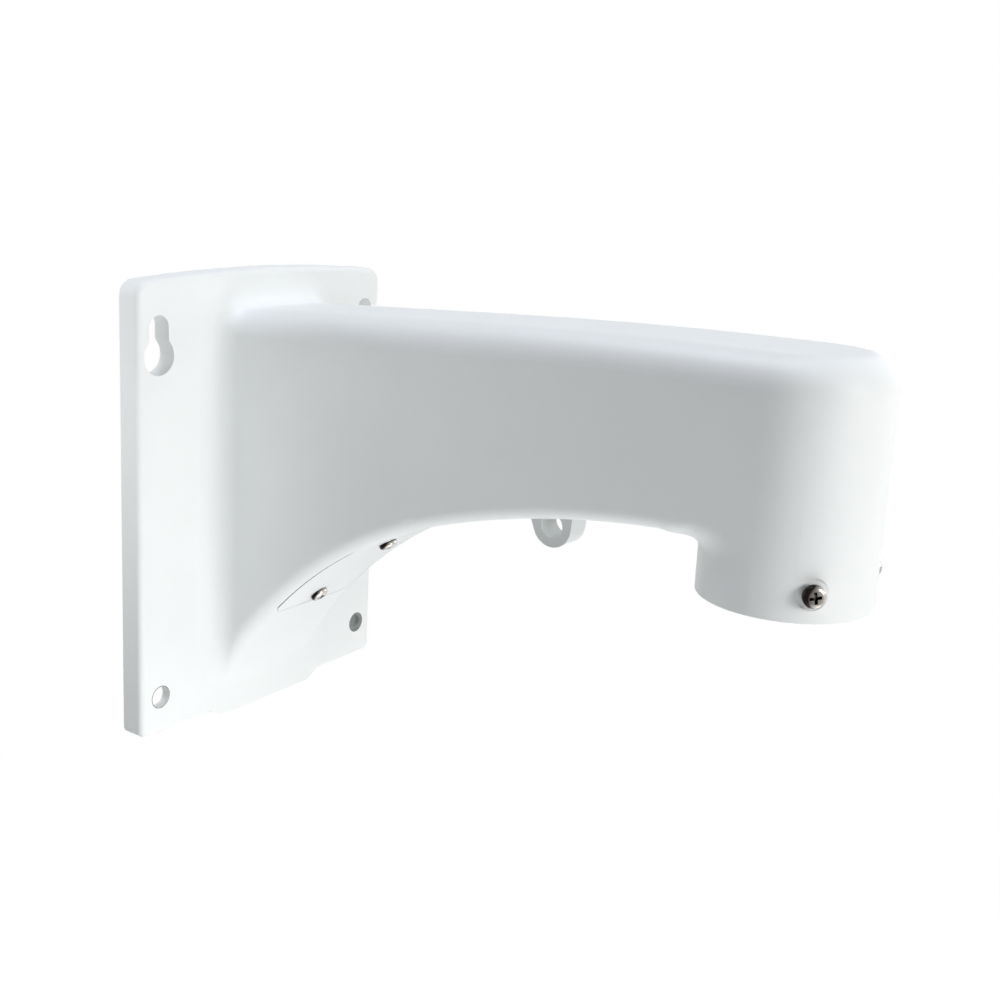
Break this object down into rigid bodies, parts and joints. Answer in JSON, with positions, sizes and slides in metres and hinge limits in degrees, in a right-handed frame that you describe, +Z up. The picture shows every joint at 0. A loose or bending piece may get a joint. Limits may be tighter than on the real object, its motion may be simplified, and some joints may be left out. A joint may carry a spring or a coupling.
{
  "type": "camera wall bracket",
  "caption": "Cast wall bracket: a plate with keyholes and a hollow cable arm that ends in an upright tube for a security camera, with an access cover and a safety rope lug.",
  "frame": {"origin": "on the wall, in the middle of the four fixing holes", "axes": "+X points away from the wall along the arm, +Z is up, and Y runs along the wall"},
  "size_m": [0.2865, 0.1472, 0.1982],
  "materials": {
    "casting": "fine white powder coat on cast aluminium",
    "cover": "fine white powder coat on aluminium plate",
    "screws": "bare stainless steel"
  },
  "bodies": {
    "root": {"bracket_casting": "casting", "access_cover": "cover", "cover_screw_1": "screws", "cover_screw_2": "screws", "tube_screw_1": "screws", "tube_screw_2": "screws"}
  },
  "joints": []
}
